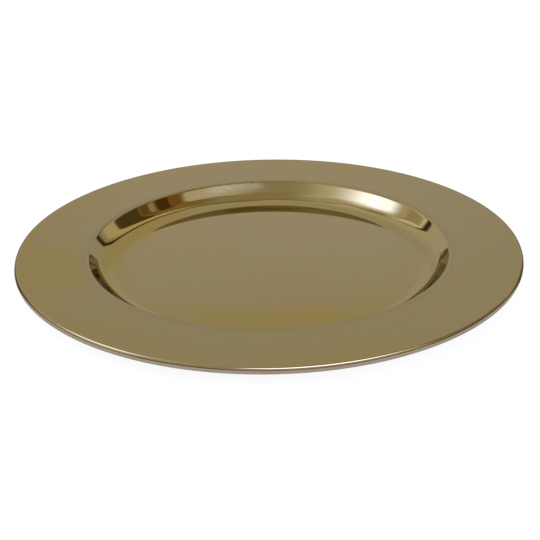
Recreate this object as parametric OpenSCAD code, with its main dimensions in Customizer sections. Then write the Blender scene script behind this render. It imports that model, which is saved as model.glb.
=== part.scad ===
// Round metal charger plate: one pressed sheet with a flat well floor, a sweep up to
// a sloping wall, a broad flat rim and an outer edge turned down and curled round a wire.
// Millimetres, +Z up. The origin is the centre of the underside, which stands on z = 0.

/* [Plate] */
// Outer diameter, across the rolled edge
plate_d = 330; // [280:1:380]
// Thickness of the sheet
sheet_t = 0.8; // [0.6:0.1:1.2]

/* [Well] */
// Diameter at which the flat rim turns down into the well
well_d = 239; // [200:1:250]
// Depth of the well floor below the rim
well_depth = 12.4; // [8:0.1:16]
// Slope of the wall
wall_slope = 48; // [42:1:56]
// Radius of the sweep from the well floor up to the wall
sweep_r = 18.5; // [14:0.5:24]
// Radius of the shoulder from the wall over onto the rim
shoulder_r = 3.2; // [3:0.1:6]

/* [Rolled edge] */
// Inside radius of the bend that turns the rim down
bend_in_r = 0.3; // [0.2:0.05:0.6]
// Angle through which that bend turns the rim down
bend_turn = 60; // [52:1:70]
// Radius of the outer face, from the bend down to the curl
face_r = 4.3; // [3.8:0.1:5]
// Diameter of the stiffening wire
wire_d = 2.2; // [1.8:0.1:2.6]
// Clearance round the wire inside the curl
wire_clear = 0.05; // [0.02:0.01:0.1]
// Gap between the end of the curl and the underside of the rim
curl_gap = 0.35; // [0.2:0.05:0.6]
// Gap between the two butted ends of the wire hoop
hoop_gap = 1.5; // [0.5:0.1:5]

/* [Hidden] */

$fn = 180;
// Most that the outline turns from one point to the next, on the wide arcs and on the tight bend
arc_step = 4;
bend_step = 7.5;
gold_tone = "#a8935a";
steel_tone = "#8f9296";

// Height of the rim's top face, which is also the height of the plate
rim_z = sheet_t + well_depth;
well_r = well_d / 2;

// The wall is straight between the sweep and the shoulder,
// which meet before it gets that steep if the well is shallow
bends_r = sweep_r + shoulder_r;
wall_a = min(wall_slope, acos(1 - well_depth / bends_r));
wall_l = (well_depth - bends_r * (1 - cos(wall_a))) / sin(wall_a);
floor_r = well_r - bends_r * sin(wall_a) - wall_l * cos(wall_a);
// Shortest straight stretch that the outline draws
wall_least = 0.01;

// The bend runs into the outer face, which is upright where it runs into the curl
bend_out_r = bend_in_r + sheet_t;
face_tilt = 90 - bend_turn;
face_x = plate_d / 2 - face_r;
bend_x = face_x + (face_r - bend_out_r) * cos(face_tilt);
bend_z = rim_z - bend_out_r;
edge_z = bend_z - (face_r - bend_out_r) * sin(face_tilt);

// The curl wraps the wire and closes in under the rim
curl_in_r = wire_d / 2 + wire_clear;
curl_out_r = curl_in_r + sheet_t;
curl_x = plate_d / 2 - curl_out_r;
curl_rise = rim_z - sheet_t - curl_gap - edge_z;
curl_end_a = -180 - asin(min(1, curl_rise / curl_out_r));

// Part of the turn that the wire hoop leaves open, at the back of the plate
hoop_open_a = 2 * asin(hoop_gap / 2 / curl_x);
hoop_start_a = 90 + hoop_open_a / 2;

// Points along an arc about (x, z), leaving out the first ones if it joins another arc there
function arc(x, z, r, from_a, to_a, skip = 0, step = arc_step) =
    let (steps = ceil(abs(to_a - from_a) / step))
    [
        for (i = [skip:steps])
            let (a = from_a + (to_a - from_a) * i / steps)
                [x + r * cos(a), z + r * sin(a)]
    ];

// Line of the sheet at a depth below its top face, from the axis out to the end of the curl:
// sweep, shoulder, bend, face and curl keep their centres at every depth
function sheet_line(depth) = concat(
    [[0, sheet_t - depth]],
    arc(floor_r, sheet_t + sweep_r, sweep_r + depth, -90, wall_a - 90),
    arc(well_r, rim_z - shoulder_r, shoulder_r - depth, wall_a + 90, 90, skip = wall_l > wall_least ? 0 : 1),
    arc(bend_x, bend_z, bend_out_r - depth, 90, face_tilt, step = bend_step),
    arc(face_x, edge_z, face_r - depth, face_tilt, 0, skip = 1),
    arc(curl_x, edge_z, curl_out_r - depth, 0, curl_end_a, skip = 1)
);

function reversed(list) = [for (i = [len(list) - 1:-1:0]) list[i]];

// Half section of the sheet
module sheet_section() {
    polygon(concat(sheet_line(0), reversed(sheet_line(sheet_t))));
}

// The pressed sheet with its rolled edge
module plate_shell() {
    color(gold_tone)
        rotate_extrude()
            sheet_section();
}

// The wire hoop gripped by the curl
module rim_wire() {
    color(steel_tone)
        rotate([0, 0, hoop_start_a])
            rotate_extrude(angle = 360 - hoop_open_a)
                translate([curl_x, edge_z])
                    circle(d = wire_d);
}

plate_shell();
rim_wire();
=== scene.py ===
import math

import bmesh
import bpy
from mathutils import Matrix, Vector


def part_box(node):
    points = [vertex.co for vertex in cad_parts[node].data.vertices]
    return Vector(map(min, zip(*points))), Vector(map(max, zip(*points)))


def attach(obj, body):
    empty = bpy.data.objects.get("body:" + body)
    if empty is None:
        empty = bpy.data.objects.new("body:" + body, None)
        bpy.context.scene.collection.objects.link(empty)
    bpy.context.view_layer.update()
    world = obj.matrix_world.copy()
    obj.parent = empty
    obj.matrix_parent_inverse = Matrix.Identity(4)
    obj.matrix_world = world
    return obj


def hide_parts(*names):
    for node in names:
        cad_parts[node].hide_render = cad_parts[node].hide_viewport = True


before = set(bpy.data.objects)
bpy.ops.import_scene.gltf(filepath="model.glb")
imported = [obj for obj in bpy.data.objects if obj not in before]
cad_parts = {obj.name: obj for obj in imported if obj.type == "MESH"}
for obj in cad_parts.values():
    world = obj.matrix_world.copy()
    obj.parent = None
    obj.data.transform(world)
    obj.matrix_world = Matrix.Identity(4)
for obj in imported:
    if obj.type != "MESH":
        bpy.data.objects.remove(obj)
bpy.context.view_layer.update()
print("frame loaded:", ", ".join(sorted(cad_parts)))

mm = 0.001
quarterTurn = math.pi / 2
flatten = (1.0, 1.0, 0.0)  # drops the height of a place
scene = bpy.context.scene


# small helpers for node trees, shared by the shapes and the finishes

def feed(tree, socket, value):
    if isinstance(value, bpy.types.NodeSocket):
        tree.links.new(value, socket)
    else:
        socket.default_value = value


def put(tree, kind, inputs=None, **settings):
    node = tree.nodes.new(kind)
    for name, value in settings.items():
        setattr(node, name, value)
    for label, value in (inputs or {}).items():
        feed(tree, node.inputs[label], value)
    return node


def sums(tree, operation, *values):
    node = put(tree, "ShaderNodeMath", operation=operation)
    for socket, value in zip(node.inputs, values):
        feed(tree, socket, value)
    return node.outputs[0]


def point(tree, x, y, z=0.0):
    return put(tree, "ShaderNodeCombineXYZ", {"X": x, "Y": y, "Z": z}).outputs[0]


def remap(tree, value, fromLow, fromHigh, toLow, toHigh, curve="LINEAR"):
    spread = {"Value": value, "From Min": fromLow, "From Max": fromHigh, "To Min": toLow, "To Max": toHigh}
    return put(tree, "ShaderNodeMapRange", spread, interpolation_type=curve).outputs["Result"]


def eased(tree, value, span, toLow=0.0, toHigh=1.0):
    return remap(tree, value, *span, toLow, toHigh, "SMOOTHSTEP")


# plate: a pressed sheet spun round its axis, so one section line makes both faces of it

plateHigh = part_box("plate_shell")[1]
plateSizes = dict(
    plateRadius=plateHigh.x,
    rimHeight=plateHigh.z,
    sheet=0.8 * mm,
    wellRadius=119.5 * mm,
    wallSlope=math.radians(48),
    sweepRadius=18.5 * mm,
    shoulderRadius=3.2 * mm,
    cornerRadius=1.1 * mm,  # where the rim is turned down, outside
    cornerTurn=math.radians(60),
    faceRadius=4.3 * mm,  # gently rounded outer face below the corner
    curlRadius=1.95 * mm,  # underneath, where the edge wraps round its wire
    curlTurn=math.radians(232.6),
)
plateMesh = dict(
    roundSteps=288,
    floorRings=16,
    sweepRings=26,
    wallRings=8,
    shoulderRings=16,
    rimRings=14,
    cornerRings=14,
    faceRings=10,
    curlRings=34,
    lipRings=7,
    pathRadius=100 * mm,  # circle that carries the section; any size will do
    weld=1e-6,
)


def easedLine(tree, fromX, toX, height, rings):
    # rings crowd towards both ends, so the flat stays flat up to where it bends
    line = put(tree, "GeometryNodeCurvePrimitiveLine")
    cut = put(tree, "GeometryNodeResampleCurve", {"Curve": line.outputs[0], "Count": rings})
    along = put(tree, "GeometryNodeSplineParameter").outputs["Factor"]
    x = eased(tree, along, (0.0, 1.0), fromX, toX)
    moved = {"Geometry": cut.outputs[0], "Position": point(tree, x, height)}
    return put(tree, "GeometryNodeSetPosition", moved).outputs[0]


def bend(tree, centreX, centreY, radius, start, turn, rings):
    arc = put(
        tree, "GeometryNodeCurveArc",
        {"Resolution": rings, "Radius": radius, "Start Angle": start, "Sweep Angle": turn},
        mode="RADIUS",
    )
    placed = {"Geometry": arc.outputs[0], "Translation": point(tree, centreX, centreY)}
    return put(tree, "GeometryNodeTransform", placed).outputs[0]


def join(tree, *parts):
    node = put(tree, "GeometryNodeJoinGeometry")
    for part in parts:
        tree.links.new(part, node.inputs[0])
    return node.outputs[0]


def newTree(name, floats, wholes=(), materials=()):
    tree = bpy.data.node_groups.new(name, "GeometryNodeTree")
    kinds = [("NodeSocketFloat", floats), ("NodeSocketInt", wholes), ("NodeSocketMaterial", materials)]
    for kind, names in kinds:
        for label in names:
            tree.interface.new_socket(label, in_out="INPUT", socket_type=kind)
    tree.interface.new_socket("Geometry", in_out="OUTPUT", socket_type="NodeSocketGeometry")
    return tree, put(tree, "NodeGroupInput").outputs, put(tree, "NodeGroupOutput").inputs[0]


def groupOf(tree, inner, inputs):
    node = put(tree, "GeometryNodeGroup", node_tree=inner)
    for label, value in inputs.items():
        feed(tree, node.inputs[label], value)
    return node.outputs[0]


def buildSheetLine():
    # line of the sheet at a depth below its top face: floor, sweep, shoulder, rim and rolled edge
    names = ["depth", *plateSizes, "floorRadius", "cornerX", "faceX", "curlX", "edgeHeight"]
    tree, given, result = newTree("sheetLine", names)
    floorHeight = sums(tree, "SUBTRACT", given["sheet"], given["depth"])
    rimFace = sums(tree, "SUBTRACT", given["rimHeight"], given["depth"])
    floor = easedLine(tree, 0.0, given["floorRadius"], floorHeight, plateMesh["floorRings"])
    slopeSine = sums(tree, "SINE", given["wallSlope"])
    slopeCosine = sums(tree, "COSINE", given["wallSlope"])
    sweepY = sums(tree, "ADD", given["sheet"], given["sweepRadius"])
    sweepReach = sums(tree, "ADD", given["sweepRadius"], given["depth"])
    sweep = bend(
        tree, given["floorRadius"], sweepY, sweepReach,
        -quarterTurn, given["wallSlope"], plateMesh["sweepRings"],
    )
    shoulderY = sums(tree, "SUBTRACT", given["rimHeight"], given["shoulderRadius"])
    shoulderReach = sums(tree, "SUBTRACT", given["shoulderRadius"], given["depth"])
    shoulder = bend(
        tree, given["wellRadius"], shoulderY, shoulderReach,
        quarterTurn, given["wallSlope"], plateMesh["shoulderRings"],
    )
    wallFoot = point(
        tree, sums(tree, "MULTIPLY_ADD", sweepReach, slopeSine, given["floorRadius"]),
        sums(tree, "SUBTRACT", sweepY, sums(tree, "MULTIPLY", sweepReach, slopeCosine)),
    )
    wallHead = point(
        tree, sums(tree, "SUBTRACT", given["wellRadius"], sums(tree, "MULTIPLY", shoulderReach, slopeSine)),
        sums(tree, "MULTIPLY_ADD", shoulderReach, slopeCosine, shoulderY),
    )
    straight = put(tree, "GeometryNodeCurvePrimitiveLine", {"Start": wallFoot, "End": wallHead})
    cut = {"Curve": straight.outputs[0], "Count": plateMesh["wallRings"]}
    wall = put(tree, "GeometryNodeResampleCurve", cut).outputs[0]
    rim = easedLine(tree, given["wellRadius"], given["cornerX"], rimFace, plateMesh["rimRings"])
    corner = bend(
        tree, given["cornerX"], sums(tree, "SUBTRACT", given["rimHeight"], given["cornerRadius"]),
        sums(tree, "SUBTRACT", given["cornerRadius"], given["depth"]),
        quarterTurn, sums(tree, "MULTIPLY", given["cornerTurn"], -1.0), plateMesh["cornerRings"],
    )
    faceTilt = sums(tree, "SUBTRACT", quarterTurn, given["cornerTurn"])
    face = bend(
        tree, given["faceX"], given["edgeHeight"],
        sums(tree, "SUBTRACT", given["faceRadius"], given["depth"]),
        0.0, faceTilt, plateMesh["faceRings"],
    )
    curl = bend(
        tree, given["curlX"], given["edgeHeight"],
        sums(tree, "SUBTRACT", given["curlRadius"], given["depth"]),
        0.0, sums(tree, "MULTIPLY", given["curlTurn"], -1.0), plateMesh["curlRings"],
    )
    tree.links.new(join(tree, floor, sweep, wall, shoulder, rim, corner, face, curl), result)
    return tree


def buildPlateTree():
    tree, given, result = newTree("spunPlate", list(plateSizes), ["roundSteps"], ["finish"])
    # a straight wall makes up what sweep and shoulder leave of the well's depth
    bends = sums(tree, "ADD", given["sweepRadius"], given["shoulderRadius"])
    slopeCosine = sums(tree, "COSINE", given["wallSlope"])
    slopeSine = sums(tree, "SINE", given["wallSlope"])
    wellDepth = sums(tree, "SUBTRACT", given["rimHeight"], given["sheet"])
    bendRise = sums(tree, "MULTIPLY", bends, sums(tree, "SUBTRACT", 1.0, slopeCosine))
    wallRise = sums(tree, "SUBTRACT", wellDepth, bendRise)
    wallRun = sums(tree, "DIVIDE", wallRise, sums(tree, "TANGENT", given["wallSlope"]))
    slopedRun = sums(tree, "MULTIPLY_ADD", bends, slopeSine, wallRun)
    floorRadius = sums(tree, "SUBTRACT", given["wellRadius"], slopedRun)
    # corner, outer face and curl run into each other without a kink
    faceTilt = sums(tree, "SUBTRACT", quarterTurn, given["cornerTurn"])
    faceX = sums(tree, "SUBTRACT", given["plateRadius"], given["faceRadius"])
    curlX = sums(tree, "SUBTRACT", given["plateRadius"], given["curlRadius"])
    cornerReach = sums(tree, "SUBTRACT", given["faceRadius"], given["cornerRadius"])
    cornerX = sums(tree, "MULTIPLY_ADD", cornerReach, sums(tree, "COSINE", faceTilt), faceX)
    cornerY = sums(tree, "SUBTRACT", given["rimHeight"], given["cornerRadius"])
    cornerDrop = sums(tree, "MULTIPLY", cornerReach, sums(tree, "SINE", faceTilt))
    edgeHeight = sums(tree, "SUBTRACT", cornerY, cornerDrop)
    # half-round lip at the end of the curl, which stops short by the lip's own reach
    halfSheet = sums(tree, "DIVIDE", given["sheet"], 2.0)
    lipRing = sums(tree, "SUBTRACT", given["curlRadius"], halfSheet)
    curlTurn = sums(tree, "SUBTRACT", given["curlTurn"], sums(tree, "DIVIDE", halfSheet, lipRing))
    lipAngle = sums(tree, "MULTIPLY", curlTurn, -1.0)
    lipX = sums(tree, "MULTIPLY_ADD", lipRing, sums(tree, "COSINE", lipAngle), curlX)
    lipY = sums(tree, "MULTIPLY_ADD", lipRing, sums(tree, "SINE", lipAngle), edgeHeight)
    lip = bend(tree, lipX, lipY, halfSheet, lipAngle, -math.pi, plateMesh["lipRings"])

    shared = {name: given[name] for name in plateSizes}
    shared.update(floorRadius=floorRadius, cornerX=cornerX, faceX=faceX)
    shared.update(curlX=curlX, curlTurn=curlTurn, edgeHeight=edgeHeight)
    sheetLine = buildSheetLine()
    top = groupOf(tree, sheetLine, {**shared, "depth": 0.0})
    under = groupOf(tree, sheetLine, {**shared, "depth": given["sheet"]})
    marked = {"Geometry": under, "Name": "underFace", "Value": 1.0}
    under = put(tree, "GeometryNodeStoreNamedAttribute", marked, data_type="FLOAT", domain="POINT").outputs[0]
    section = join(tree, top, under, lip)

    # the sweep's own y points down, so the section is turned over on the way
    ontoPath = (-plateMesh["pathRadius"], 0.0, 0.0)
    turned = {"Geometry": section, "Translation": ontoPath, "Scale": (1.0, -1.0, 1.0)}
    section = put(tree, "GeometryNodeTransform", turned).outputs[0]
    path = put(
        tree, "GeometryNodeCurvePrimitiveCircle",
        {"Resolution": given["roundSteps"], "Radius": plateMesh["pathRadius"]},
    )
    spun = put(tree, "GeometryNodeCurveToMesh", {"Curve": path.outputs[0], "Profile Curve": section})
    merged = {"Geometry": spun.outputs[0], "Distance": plateMesh["weld"]}
    welded = put(tree, "GeometryNodeMergeByDistance", merged)
    smooth = put(tree, "GeometryNodeSetShadeSmooth", {"Geometry": welded.outputs[0]})
    dressed = put(
        tree, "GeometryNodeSetMaterial",
        {"Geometry": smooth.outputs[0], "Material": given["finish"]},
    )
    tree.links.new(dressed.outputs[0], result)
    return tree


def bakeTree(name, tree, values):
    # run the tree once and keep its result as a plain mesh
    holder = bpy.data.objects.new(name, bpy.data.meshes.new(name))
    scene.collection.objects.link(holder)
    modifier = holder.modifiers.new("spin", "NODES")
    modifier.node_group = tree
    for item in tree.interface.items_tree:
        if item.in_out == "INPUT" and item.name in values:
            modifier[item.identifier] = values[item.name]
    holder.update_tag()
    depsgraph = bpy.context.evaluated_depsgraph_get()
    mesh = bpy.data.meshes.new_from_object(holder.evaluated_get(depsgraph), depsgraph=depsgraph)
    holder.modifiers.clear()
    holder.data = mesh
    mesh.name = name
    return holder


def faceOutwards(piece):
    shell = bmesh.new()
    shell.from_mesh(piece.data)
    bmesh.ops.recalc_face_normals(shell, faces=shell.faces)
    openEdges = sum(1 for edge in shell.edges if not edge.is_manifold)
    shell.to_mesh(piece.data)
    triangles = sum(len(face.verts) - 2 for face in shell.faces)
    shell.free()
    print(f"{piece.name}: {triangles} triangles, {openEdges} open edges")


goldFinish = dict(
    pale=(0.41, 0.333, 0.16),
    rimPale=(0.396, 0.322, 0.155),  # a shade deeper outside the well
    rimFrom=(121 * mm, 128 * mm),
    yellow=(0.415, 0.315, 0.098),
    worn=(0.51, 0.42, 0.30),  # rubbed thin on the rolled edge
    speck=(0.16, 0.12, 0.05),
    grazing=(0.80, 0.775, 0.685),  # keeps the gold from going pale at low angles
    wellYellow=(50 * mm, 84 * mm),  # lacquer has yellowed on the near floor of the well
    nearSide=(0.0, -1.0, 0.0),
    nearShift=0.65,  # and less and less towards the far side
    nearSpread=(0.8, 0.99),  # strongest straight in front
    nearShare=(0.62, 1.05),
    wellSide=(-0.985, 0.174, 0.0),  # and on the left, at the foot of the sweep
    wellSideSpread=(0.57, 0.906),
    wellSideFrom=(88 * mm, 103 * mm),
    wellPale=(107 * mm, 115 * mm),
    rimYellow=(128 * mm, 160 * mm),  # faintly towards the rim's edge, but not on the right
    rimYellowShare=0.35,
    rimClearSide=(1.0, 0.0, 0.0),
    rimClear=(0.3, 0.8),
    patchSide=(-0.978, -0.208, 0.0),  # one yellow patch on the left of the rim
    patchSpread=(0.94, 0.9945),
    patchBand=(116 * mm, 130 * mm, 157.5 * mm, 161 * mm),
    patchShare=0.95,
    ringSide=(-0.94, -0.342, 0.0),  # painted reflection: a thin yellow ring along the left of the edge, standing in for the rim easing into the corner
    ringSpread=(0.6, 0.93),
    ringBand=(158.2 * mm, 159.7 * mm, 160.5 * mm, 162 * mm),
    ringShare=1.1,
    scuffSheen=(0.435, 0.375, 0.225),
    scuffSheenSide=(-0.208, 0.978, 0.0),  # scuffed patch high on the far wall, paler in colour as a painted sheen
    scuffSheenSpread=(0.972, 0.992),
    scuffSheenBand=(111.5 * mm, 115.5 * mm, 117 * mm, 118.5 * mm),
    scuffSheenGrain=700.0,
    scuffSheenDetail=2.0,
    scuffSheenFrom=(0.35, 0.65),
    scuffSheenShare=(0.5, 1.0),
    shoulder=(0.375, 0.304, 0.145),  # a little darker over the shoulder
    shoulderBand=(116.5 * mm, 118.5 * mm, 121 * mm, 126 * mm),
    wornFrom=(164.1 * mm, 164.8 * mm),
    cloudScale=8.0,
    cloudFrom=(0.3, 0.65),
    cloudShare=(0.6, 1.05),
    grainScale=95.0,
    grainDetail=5.0,
    mottleFrom=(0.16, 0.36),  # of cloud times grain
    mottleShare=(-0.05, 0.25),
    hazeScale=38.0,
    hazeDetail=4.0,
    rubbedFrom=(0.25, 0.6),
    rubbedShare=(0.55, 1.0),
    speckScale=420.0,
    speckDetail=1.0,
    speckRare=(0.79, 0.83),
    polishFrom=(0.3, 0.7),
    polish=(0.04, 0.08),  # roughness from the best polished spots to the haziest
    shoulderHaze=0.02,
    scuffHaze=0.22,
    wornHaze=0.05,
    speckHaze=0.3,
    underHaze=0.16,  # how much duller the underside is
    waveScale=13.0,  # faint waviness of the pressed sheet
    waveDetail=1.0,
    waveHeight=0.05 * mm,
)


# a mix node's colour sockets, which share their names with its other sockets
mixInputs = (6, 7)
mixOutput = 2


def mixTone(tree, share, one, other):
    node = put(tree, "ShaderNodeMix", data_type="RGBA")
    feed(tree, node.inputs[0], share)
    for index, tone in zip(mixInputs, (one, other)):
        feed(tree, node.inputs[index], tone if isinstance(tone, bpy.types.NodeSocket) else (*tone, 1.0))
    return node.outputs[mixOutput]


def noise(tree, place, scale, detail=3.0):
    return put(tree, "ShaderNodeTexNoise", {"Vector": place, "Scale": scale, "Detail": detail}).outputs[0]


def newMaterial(name):
    material = bpy.data.materials.new(name)
    material.use_nodes = True
    material.node_tree.nodes.clear()
    return material, material.node_tree


def vectorMath(tree, operation, *values):
    node = put(tree, "ShaderNodeVectorMath", operation=operation)
    for socket, value in zip(node.inputs, values):
        feed(tree, socket, value)
    return node.outputs["Value"] if operation in ("LENGTH", "DOT_PRODUCT") else node.outputs["Vector"]


def ringBand(tree, radius, band):
    # fades in and out again between four radii
    rise = eased(tree, radius, band[:2])
    fall = eased(tree, radius, band[2:], 1.0, 0.0)
    return sums(tree, "MULTIPLY", rise, fall)


def sideShare(tree, outward, side, spread):
    # full on one side of the plate, fading out round it
    return eased(tree, vectorMath(tree, "DOT_PRODUCT", outward, side), spread)


def patchOn(tree, outward, radius, name):
    side = sideShare(tree, outward, goldFinish[name + "Side"], goldFinish[name + "Spread"])
    return sums(tree, "MULTIPLY", side, ringBand(tree, radius, goldFinish[name + "Band"]))


def finishMetal(tree, tone, rough, relief, depth):
    bump = put(tree, "ShaderNodeBump", {"Height": relief, "Distance": depth, "Strength": 1.0})
    look = {"Base Color": tone, "Metallic": 1.0, "Roughness": rough, "Normal": bump.outputs[0]}
    shader = put(tree, "ShaderNodeBsdfPrincipled", look)
    put(tree, "ShaderNodeOutputMaterial", {"Surface": shader.outputs[0]})
    return shader


def goldMaterial():
    material, tree = newMaterial("polishedGold")
    place = put(tree, "ShaderNodeTexCoord").outputs["Object"]
    flat = vectorMath(tree, "MULTIPLY", place, flatten)
    radius = vectorMath(tree, "LENGTH", flat)
    outward = vectorMath(tree, "NORMALIZE", flat)

    # colour: yellowed lacquer in clouds, a painted yellow reflection along the left of the edge, darker
    # shoulder, pale scuffs with a painted sheen, worn edge, few specks
    cloud = noise(tree, place, goldFinish["cloudScale"])
    nearSide = vectorMath(tree, "DOT_PRODUCT", outward, goldFinish["nearSide"])
    shift = sums(tree, "MULTIPLY_ADD", nearSide, goldFinish["nearShift"], 1.0 - goldFinish["nearShift"])
    wellIn = eased(tree, sums(tree, "MULTIPLY", radius, shift), goldFinish["wellYellow"])
    nearMost = eased(tree, nearSide, goldFinish["nearSpread"], *goldFinish["nearShare"])
    wellIn = sums(tree, "MULTIPLY", wellIn, nearMost)
    wellOut = eased(tree, radius, goldFinish["wellPale"], 1.0, 0.0)
    wellSide = sums(
        tree, "MULTIPLY",
        sideShare(tree, outward, goldFinish["wellSide"], goldFinish["wellSideSpread"]),
        eased(tree, radius, goldFinish["wellSideFrom"]),
    )
    well = sums(tree, "MULTIPLY", sums(tree, "MAXIMUM", wellIn, wellSide), wellOut)
    rimClear = sideShare(tree, outward, goldFinish["rimClearSide"], goldFinish["rimClear"])
    rimOut = sums(
        tree, "MULTIPLY",
        eased(tree, radius, goldFinish["rimYellow"], 0.0, goldFinish["rimYellowShare"]),
        sums(tree, "SUBTRACT", 1.0, rimClear),
    )
    patch = sums(tree, "MULTIPLY", patchOn(tree, outward, radius, "patch"), goldFinish["patchShare"])
    # painted reflection: the thin yellow ring along the left of the edge
    ring = sums(tree, "MULTIPLY", patchOn(tree, outward, radius, "ring"), goldFinish["ringShare"])
    zone = well
    for share in (rimOut, patch, ring):
        zone = sums(tree, "MAXIMUM", zone, share)
    grain = noise(tree, place, goldFinish["grainScale"], goldFinish["grainDetail"])
    mottle = remap(
        tree, sums(tree, "MULTIPLY", cloud, grain),
        *goldFinish["mottleFrom"], *goldFinish["mottleShare"],
    )
    clouded = remap(tree, cloud, *goldFinish["cloudFrom"], *goldFinish["cloudShare"])
    warm = sums(tree, "MULTIPLY_ADD", clouded, zone, mottle)
    onRim = eased(tree, radius, goldFinish["rimFrom"])
    tone = mixTone(tree, onRim, goldFinish["pale"], goldFinish["rimPale"])
    tone = mixTone(tree, warm, tone, goldFinish["yellow"])
    haze = noise(tree, place, goldFinish["hazeScale"], goldFinish["hazeDetail"])
    rubbed = remap(tree, haze, *goldFinish["rubbedFrom"], *goldFinish["rubbedShare"])
    shouldered = sums(tree, "MULTIPLY", ringBand(tree, radius, goldFinish["shoulderBand"]), rubbed)
    tone = mixTone(tree, shouldered, tone, goldFinish["shoulder"])
    # scuffed patch high on the far wall: real haze in the polish, and a paler colour that is a painted sheen
    scuffSheenMarks = noise(tree, place, goldFinish["scuffSheenGrain"], goldFinish["scuffSheenDetail"])
    scuffSheenMarks = remap(tree, scuffSheenMarks, *goldFinish["scuffSheenFrom"], *goldFinish["scuffSheenShare"])
    scuffedWithSheen = sums(tree, "MULTIPLY", patchOn(tree, outward, radius, "scuffSheen"), scuffSheenMarks)
    tone = mixTone(tree, scuffedWithSheen, tone, goldFinish["scuffSheen"])
    worn = sums(tree, "MULTIPLY", eased(tree, radius, goldFinish["wornFrom"]), rubbed)
    tone = mixTone(tree, worn, tone, goldFinish["worn"])
    specks = noise(tree, place, goldFinish["speckScale"], goldFinish["speckDetail"])
    specks = remap(tree, specks, *goldFinish["speckRare"], 0.0, 1.0)
    tone = mixTone(tree, specks, tone, goldFinish["speck"])

    # polish: duller where the sheet is stretched, scuffed or worn, and underneath
    polish = remap(tree, haze, *goldFinish["polishFrom"], *goldFinish["polish"])
    under = put(tree, "ShaderNodeAttribute", attribute_name="underFace").outputs["Fac"]
    dulled = dict(
        shoulderHaze=shouldered, scuffHaze=scuffedWithSheen, wornHaze=worn, speckHaze=specks, underHaze=under,
    )
    for name, share in dulled.items():
        polish = sums(tree, "MULTIPLY_ADD", share, goldFinish[name], polish)

    wave = noise(tree, place, goldFinish["waveScale"], goldFinish["waveDetail"])
    shader = finishMetal(tree, tone, polish, wave, goldFinish["waveHeight"])
    shader.inputs["Specular Tint"].default_value = (*goldFinish["grazing"], 1.0)
    return material


plateTree = buildPlateTree()
plateValues = {**plateSizes, "roundSteps": plateMesh["roundSteps"], "finish": goldMaterial()}
plate = bakeTree("gold_plate", plateTree, plateValues)
faceOutwards(plate)
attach(plate, "root")
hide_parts("plate_shell")


# wire: its solid is right as it is, and gets a drawn steel finish

wireFinish = dict(
    bright=(0.50, 0.50, 0.51),
    dull=(0.27, 0.265, 0.26),
    drawnScale=2600.0,
    drawnStretch=0.02,  # drawing marks run along the wire
    stainScale=60.0,
    stainFrom=(0.35, 0.7),
    markFrom=(0.15, 0.4),  # of marks times stain
    polish=(0.22, 0.42),
    markDepth=0.01 * mm,
)


def steelMaterial():
    material, tree = newMaterial("drawnSteel")
    place = put(tree, "ShaderNodeTexCoord").outputs["Object"]
    across = put(tree, "ShaderNodeSeparateXYZ", {"Vector": place}).outputs
    radius = vectorMath(tree, "LENGTH", vectorMath(tree, "MULTIPLY", place, flatten))
    # angle round the hoop, counted from its gap at the back
    turn = sums(tree, "ARCTAN2", across["X"], sums(tree, "MULTIPLY", across["Y"], -1.0))
    along = sums(tree, "MULTIPLY", sums(tree, "MULTIPLY", turn, radius), wireFinish["drawnStretch"])
    marks = noise(tree, point(tree, radius, along, across["Z"]), wireFinish["drawnScale"])
    stain = noise(tree, place, wireFinish["stainScale"])
    stained = remap(tree, stain, *wireFinish["stainFrom"], 0.0, 1.0)
    tone = mixTone(tree, stained, wireFinish["bright"], wireFinish["dull"])
    rough = remap(tree, sums(tree, "MULTIPLY", marks, stain), *wireFinish["markFrom"], *wireFinish["polish"])
    finishMetal(tree, tone, rough, marks, wireFinish["markDepth"])
    return material


steel = steelMaterial()
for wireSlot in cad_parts["rim_wire"].material_slots:
    wireSlot.material = steel
print("rim wire finished:", len(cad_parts["rim_wire"].material_slots), "slot")


# camera at the photograph's viewing angle

cameraSpot = dict(
    place=(0.0, -0.8089, 0.3711),
    aim=(0.00062, -0.01089, 0.0008),
    lens=89.816,
    roll=-0.016224,
)


def addCamera():
    lens = bpy.data.cameras.new("photoCamera")
    lens.lens = cameraSpot["lens"]
    camera = bpy.data.objects.new("photoCamera", lens)
    scene.collection.objects.link(camera)
    place = Vector(cameraSpot["place"])
    ahead = (Vector(cameraSpot["aim"]) - place).normalized()
    right = ahead.cross(Vector((0, 0, 1))).normalized()
    up = right.cross(ahead)
    level = Matrix((right, up, -ahead)).transposed().to_4x4()
    camera.matrix_world = Matrix.Translation(place) @ level @ Matrix.Rotation(cameraSpot["roll"], 4, "Z")
    scene.camera = camera


addCamera()


# studio: a pale floor, and far-off cards for the polish to mirror, some of them as a paper backdrop

studio = dict(
    floorRadius=12.0,
    floorLook=dict(albedo=0.12, lift=0.93),
    paperRadius=0.3,
    paperHeight=-0.0002,
    paperLook=dict(albedo=0.5, lift=0.04),
    tableHeight=-0.0004,
    tableLook=dict(albedo=0.1, lift=0.02),
    discSides=64,
    room=dict(
        rows=((-89, -180, 180), (89.9, -180, 180)),
        soft=(0, 0, 0, 0),
        tone=(0.51, 0.44, 0.32),
        distance=13.0,
    ),
    cardDistance=11.5,  # the first card hangs here, each next one a little nearer
    cardStep=0.1,
    cardRows=32,
    flagDistance=0.25,
    shadeRadii=(0.13, 0.3),
    shadeHeight=-0.0001,
    worldWhite=0.98,
)

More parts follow.
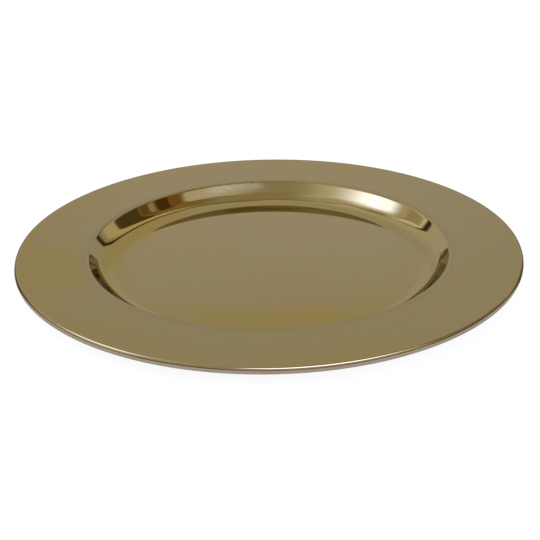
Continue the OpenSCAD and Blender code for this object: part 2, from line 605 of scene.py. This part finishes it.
# where each card stands as the plate sees it, in degrees: each row gives an elevation above the table and
# the card's left and right edge there, as azimuths from straight behind the plate round to its right;
# soft is the fade at the left, right, low and high edge
cards = dict(
    leftGlow=dict(
        rows=((0, -150, -46), (20, -150, -47), (40, -150, -43), (60, -150, -40), (84, -150, -30)),
        soft=(45, 2, 0, 14),
        tone=(0.76, 0.72, 0.62),
    ),
    paperGap=dict(
        rows=(
            (48, -54, 50), (58, -55, 54), (65, -58, 60), (70, -50, 57), (74, -38, 48), (77, -24, 40),
            (79, -10, 20),
        ),
        soft=(2.5, 2, 3, 1.5),
        tone=(0.40, 0.33, 0.20),
    ),
    paper=dict(
        rows=(
            (-2, -46, 35), (13, -46.5, 35.3), (20, -47, 35.3), (27, -45.5, 35.8), (33, -44.5, 36),
            (40, -43, 37), (50, -44, 39), (58, -46, 41), (64, -50, 41), (66, -49, 36), (67, -40, 22),
            (68, -32, 10), (69.5, -24, 6), (71, -18, 3), (73, -6, 0),
        ),
        soft=(2, 0.6, 0, 0.6),
        tone=(0.65, 0.63, 0.66),
    ),
    paperLip=dict(
        rows=(
            (46, -43, 38.5), (50, -44, 39), (58, -46, 41), (64, -50, 41), (66, -49, 36), (67, -40, 22),
            (68, -32, 10), (69.5, -24, 6), (71, -18, 3), (73, -6, 0),
        ),
        soft=(2, 0.6, 10, 0.6),
        tone=(0.78, 0.73, 0.63),
    ),
    paperUpper=dict(
        rows=(
            (31, -43.5, 36), (40, -42, 36.5), (50, -41, 36), (58, -42, 37), (62, -44, 36), (64, -42, 32),
            (65, -34, 20), (66, -27, 8), (68, -20, 3), (70, -10, 0),
        ),
        soft=(4, 3, 8, 2),
        tone=(0.67, 0.635, 0.58),
    ),
    paperGlow=dict(
        rows=((6, -16, 16), (28, -16, 16)),
        soft=(12, 12, 6, 7),
        tone=(0.725, 0.695, 0.785),
    ),
    paperLeft=dict(
        rows=((0, -46, -14), (20, -47, -14), (40, -43, -12), (74, -40, -8)),
        soft=(2, 26, 0, 6),
        tone=(0.80, 0.77, 0.71),
    ),
    paperLow=dict(
        rows=((-2, -46, -12), (10, -46, -12), (24, -47, -12)),
        soft=(2, 16, 0, 10),
        tone=(0.77, 0.745, 0.79),
    ),
    leftTop=dict(
        rows=((56, -50, -30), (67, -52, -30)),
        soft=(3, 10, 6, 2),
        tone=(0.92, 0.90, 0.82),
    ),
    rightDim=dict(
        rows=((30, 56, 140), (58, 58, 128), (76, 62, 110)),
        soft=(4, 22, 2, 12),
        tone=(0.39, 0.29, 0.14),
    ),
    rightWall=dict(
        rows=(
            (10, 38.2, 60), (22, 38.2, 57), (27, 37.4, 53.5), (32, 36.6, 52.3), (37, 36.6, 53),
            (42, 38.5, 54.5), (46, 40.5, 55.5), (50, 42.5, 58), (55, 44.5, 61), (61, 47.5, 63),
            (65, 51, 62), (69, 53, 60),
        ),
        soft=(6, 1.2, 1, 6),
        tone=(0.85, 0.79, 0.66),
    ),
    paperShade=dict(
        rows=((30, 33, 37), (38, 33.4, 38.4), (46, 35.5, 42), (54, 37.5, 45.5), (60, 37, 47), (66, 37, 54)),
        soft=(1.5, 2.5, 4, 10),
        tone=(0.24, 0.165, 0.09),
    ),
    paperSide=dict(
        rows=(
            (5, 34.6, 38.2), (14, 34.3, 38.2), (20, 33.6, 38), (25, 31.8, 37), (28, 31.8, 36.8),
            (37, 33.2, 37.8), (42, 34.6, 40), (47, 35.8, 42), (54, 37.8, 44.5),
        ),
        soft=(0.6, 0.9, 1, 10),
        tone=(0.06, 0.04, 0.018),
    ),
    paperFold=dict(
        rows=((14, -47.4, -42.8), (19, -47.4, -42.4), (22, -48, -43.4), (27, -47.6, -43.6), (33, -46, -43)),
        soft=(0.8, 1.8, 3, 6),
        tone=(0.07, 0.05, 0.025),
    ),
    darkDoor=dict(
        rows=(
            (20, 52.4, 71), (30, 51.8, 71), (34, 52, 71), (38, 53, 71), (42, 54, 69.5), (45, 55, 68.5),
            (48, 56.5, 67), (51, 58, 66),
        ),
        soft=(1, 1, 2, 3),
        tone=(0.13, 0.092, 0.045),
    ),
    tanTop=dict(
        rows=((43, 68, 75), (48, 65.5, 74), (53, 62, 73)),
        soft=(1, 2, 3, 4),
        tone=(0.34, 0.25, 0.12),
    ),
    copperTrim=dict(
        rows=((24, 71, 85), (38, 71, 85), (44, 73, 85), (49, 75, 85)),
        soft=(0.8, 1, 1, 5),
        tone=(0.25, 0.138, 0.045),
    ),
    paleStrip=dict(
        rows=((30, 77.2, 82.6), (40, 77.2, 82.6), (45, 78, 82.4)),
        soft=(0.8, 0.8, 2, 4),
        tone=(0.58, 0.49, 0.41),
    ),
    brownWood=dict(
        rows=((24, 84.5, 93), (40, 84.5, 93), (44, 82, 93), (48, 77, 93), (54, 76, 93)),
        soft=(1, 1.5, 1, 5),
        tone=(0.125, 0.055, 0.012),
    ),
    orangeTrim=dict(
        rows=((30, 92.2, 101), (48, 92.2, 101), (51, 92.5, 101.4), (54, 95, 102)),
        soft=(1.4, 1, 1, 4),
        tone=(0.33, 0.17, 0.04),
    ),
    paleCurtain=dict(
        rows=(
            (30, 101.4, 190), (50, 101.4, 190), (53, 102.5, 190), (55, 103.5, 190), (57, 108, 190),
            (59, 115, 190), (61, 123, 190), (63, 130, 190), (66, 134, 180), (72, 138, 172),
        ),
        soft=(2, 62, 4, 9),
        tone=(0.88, 0.85, 0.86),
    ),
    tanShade=dict(
        rows=(
            (20, -70, -51), (26, -68, -51), (30, -64, -55.5), (34, -63.5, -56.5), (38, -62, -56.5),
            (44, -60, -55),
        ),
        soft=(3, 1, 1, 6),
        tone=(0.62, 0.54, 0.41),
    ),
    palePatch=dict(
        rows=(
            (23, -50.5, -47.2), (26, -51.5, -47), (29, -55.5, -46.8), (34, -56.8, -47.2), (38, -56.5, -48.5),
            (43, -55, -46), (50, -54, -42),
        ),
        soft=(1.2, 0.8, 1, 12),
        tone=(1.12, 1.11, 1.12),
    ),
    coolFront=dict(
        rows=((24, 165, 225), (70, 165, 225)),
        soft=(12, 18, 3, 10),
        tone=(0.56, 0.51, 0.46),
    ),
    softboxSpill=dict(
        rows=((36, -160, -96), (60, -160, -96), (84, -160, -96)),
        soft=(60, 16, 4, 30),
        tone=(1.05, 1.05, 1.12),
    ),
    softbox=dict(
        rows=((38, -122, -56), (44, -122, -56), (66, -122, -56)),
        soft=(30, 26, 6, 24),
        tone=(3.0, 3.5, 6.3),
    ),
    softboxEdge=dict(
        rows=((22, -120, -76), (30, -126, -67), (46, -128, -63)),
        soft=(20, 13, 6, 8),
        tone=(3.0, 3.5, 6.3),
    ),
    frontDim=dict(
        rows=((2, -172, -116), (12, -172, -116)),
        soft=(14, 10, 1, 3),
        tone=(0.22, 0.19, 0.15),
    ),
    rightLow=dict(
        rows=((2, 62, 116), (12, 62, 116)),
        soft=(8, 10, 1, 3),
        tone=(0.20, 0.15, 0.08),
    ),
    skirting=dict(
        rows=((-1, -180, 180), (4, -180, 180)),
        soft=(0, 0, 0, 2),
        tone=(0.12, 0.09, 0.05),
    ),
    frontWindow=dict(
        rows=((22, 100, 160), (26, 102, 190), (34, 107, 197), (46, 112, 203), (56, 116, 205)),
        soft=(28, 14, 4, 6),
        tone=(3.5, 3.85, 6.3),
    ),
)

# black flags close to the plate's two ends, for the upper part of the dark line on the rolled edge there
flags = dict(
    leftFlag=dict(
        centre=(-0.16, -0.03, 0.012),
        rows=((1, -68, -19), (8, -68, -19), (12, -66, -21)),
        soft=(8, 3, 1, 4),
        tone=(0.03, 0.022, 0.012),
    ),
    rightFlag=dict(
        centre=(0.162, 0.0, 0.012),
        rows=((1, 17, 70), (8, 17, 70), (12, 19, 68)),
        soft=(3, 8, 1, 4),
        tone=(0.03, 0.022, 0.012),
    ),
)

# dark shades on the table beside the two ends, for the lower part of that line; turns are azimuths too
shades = dict(
    leftShade=dict(turns=(-105, -78), soft=(6, 5), tone=(0.17, 0.14, 0.09)),
    rightShade=dict(turns=(72, 106), soft=(5, 6), tone=(0.17, 0.14, 0.09)),
)


def ramp(share):
    share = min(max(share, 0.0), 1.0)
    return share * share * (3.0 - 2.0 * share)


def fade(angle, low, high, softLow, softHigh):
    rise = ramp((angle - low) / softLow) if softLow else 1.0
    fall = ramp((high - angle) / softHigh) if softHigh else 1.0
    return rise * fall


def lookTo(azimuth, elevation):
    turn = math.radians(azimuth)
    rise = math.radians(elevation)
    return Vector((math.sin(turn) * math.cos(rise), math.cos(turn) * math.cos(rise), math.sin(rise)))


def cardMaterial(name, tone):
    # the card's own cover attribute fades it out towards its edges
    material, tree = newMaterial(name)
    cover = put(tree, "ShaderNodeAttribute", attribute_name="cover").outputs["Fac"]
    light = put(tree, "ShaderNodeEmission", {"Color": (*tone, 1.0)})
    clear = put(tree, "ShaderNodeBsdfTransparent")
    both = put(tree, "ShaderNodeMixShader")
    feed(tree, both.inputs[0], cover)
    feed(tree, both.inputs[1], clear.outputs[0])
    feed(tree, both.inputs[2], light.outputs[0])
    put(tree, "ShaderNodeOutputMaterial", {"Surface": both.outputs[0]})
    return material


def stagePiece(name, verts, faces, material, seen=False):
    mesh = bpy.data.meshes.new(name)
    mesh.from_pydata(verts, [], faces)
    mesh.materials.append(material)
    piece = bpy.data.objects.new(name, mesh)
    scene.collection.objects.link(piece)
    piece.visible_camera = seen
    return piece


def coveredPiece(name, verts, faces, cover, tone):
    piece = stagePiece(name, verts, faces, cardMaterial(name, tone))
    piece.data.attributes.new("cover", "FLOAT", "POINT").data.foreach_set("value", cover)
    return piece


def onlyMirrored(piece):
    piece.visible_diffuse = False
    piece.visible_shadow = False


def edgesAt(rows, elevation):
    # left and right edge of a card at an elevation, between the rows below and above it
    for low, high in zip(rows, rows[1:]):
        if elevation <= high[0]:
            break
    share = (elevation - low[0]) / (high[0] - low[0])
    return [a + (b - a) * share for a, b in zip(low[1:], high[1:])]


def hangCard(name, rows, soft, tone, distance, centre=(0.0, 0.0, 0.0)):
    steps = studio["cardRows"]
    lowest = rows[0][0]
    highest = rows[-1][0]
    verts = []
    cover = []
    faces = []
    for row in range(steps + 1):
        elevation = lowest + (highest - lowest) * row / steps
        left, right = edgesAt(rows, elevation)
        fadeUp = fade(elevation, lowest, highest, *soft[2:])
        for column in range(steps + 1):
            azimuth = left + (right - left) * column / steps
            verts.append(Vector(centre) + lookTo(azimuth, elevation) * distance)
            cover.append(fadeUp * fade(azimuth, left, right, *soft[:2]))
    for row in range(steps):
        for column in range(steps):
            corner = row * (steps + 1) + column
            faces.append((corner, corner + 1, corner + steps + 2, corner + steps + 1))
    return coveredPiece(name, verts, faces, cover, tone)


def layShade(name, turns, soft, tone):
    steps = studio["cardRows"]
    left, right = turns
    verts = []
    cover = []
    for column in range(steps + 1):
        azimuth = left + (right - left) * column / steps
        for radius in studio["shadeRadii"]:
            spot = lookTo(azimuth, 0.0) * radius
            verts.append((spot.x, spot.y, studio["shadeHeight"]))
            cover.append(fade(azimuth, left, right, *soft))
    faces = [(2 * column, 2 * column + 1, 2 * column + 3, 2 * column + 2) for column in range(steps)]
    return coveredPiece(name, verts, faces, cover, tone)


def disc(name, radius, height, material, seen=False):
    sides = studio["discSides"]
    verts = [
        (radius * math.cos(math.tau * i / sides), radius * math.sin(math.tau * i / sides), height)
        for i in range(sides)
    ]
    return stagePiece(name, verts, [tuple(range(sides))], material, seen)


def floorMaterial(name, albedo, lift):
    material, tree = newMaterial(name)
    matt = put(tree, "ShaderNodeBsdfDiffuse", {"Color": (albedo, albedo, albedo, 1.0)})
    light = put(tree, "ShaderNodeEmission", {"Color": (1.0, 1.0, 1.0, 1.0), "Strength": lift})
    both = put(tree, "ShaderNodeAddShader")
    feed(tree, both.inputs[0], matt.outputs[0])
    feed(tree, both.inputs[1], light.outputs[0])
    put(tree, "ShaderNodeOutputMaterial", {"Surface": both.outputs[0]})
    return material


def buildStudio():
    paleFloor = floorMaterial("paleFloor", **studio["floorLook"])
    floor = disc("floor", studio["floorRadius"], 0.0, paleFloor, seen=True)
    floor.visible_glossy = False
    floor.visible_shadow = False
    # the polish mirrors a duller table than the camera sees: pale paper round the plate, dark beyond it
    greyPaper = floorMaterial("greyPaper", **studio["paperLook"])
    onlyMirrored(disc("mirroredPaper", studio["paperRadius"], studio["paperHeight"], greyPaper))
    darkTable = floorMaterial("darkTable", **studio["tableLook"])
    onlyMirrored(disc("mirroredTable", studio["floorRadius"], studio["tableHeight"], darkTable))
    hangCard("room", **studio["room"])
    distance = studio["cardDistance"]
    for name, card in cards.items():
        hangCard(name, **card, distance=distance)
        distance -= studio["cardStep"]
    for name, flag in flags.items():
        onlyMirrored(hangCard(name, **flag, distance=studio["flagDistance"]))
    for name, shade in shades.items():
        onlyMirrored(layShade(name, **shade))


buildStudio()
world = bpy.data.worlds.new("whiteRoom")
world.use_nodes = True
white = studio["worldWhite"]
world.node_tree.nodes["Background"].inputs["Color"].default_value = (white, white, white, 1.0)
scene.world = world
scene.view_settings.view_transform = "Standard"
scene.cycles.caustics_reflective = False
print("studio set:", len(cards), "cards,", len(flags), "flags and", len(shades), "shades")
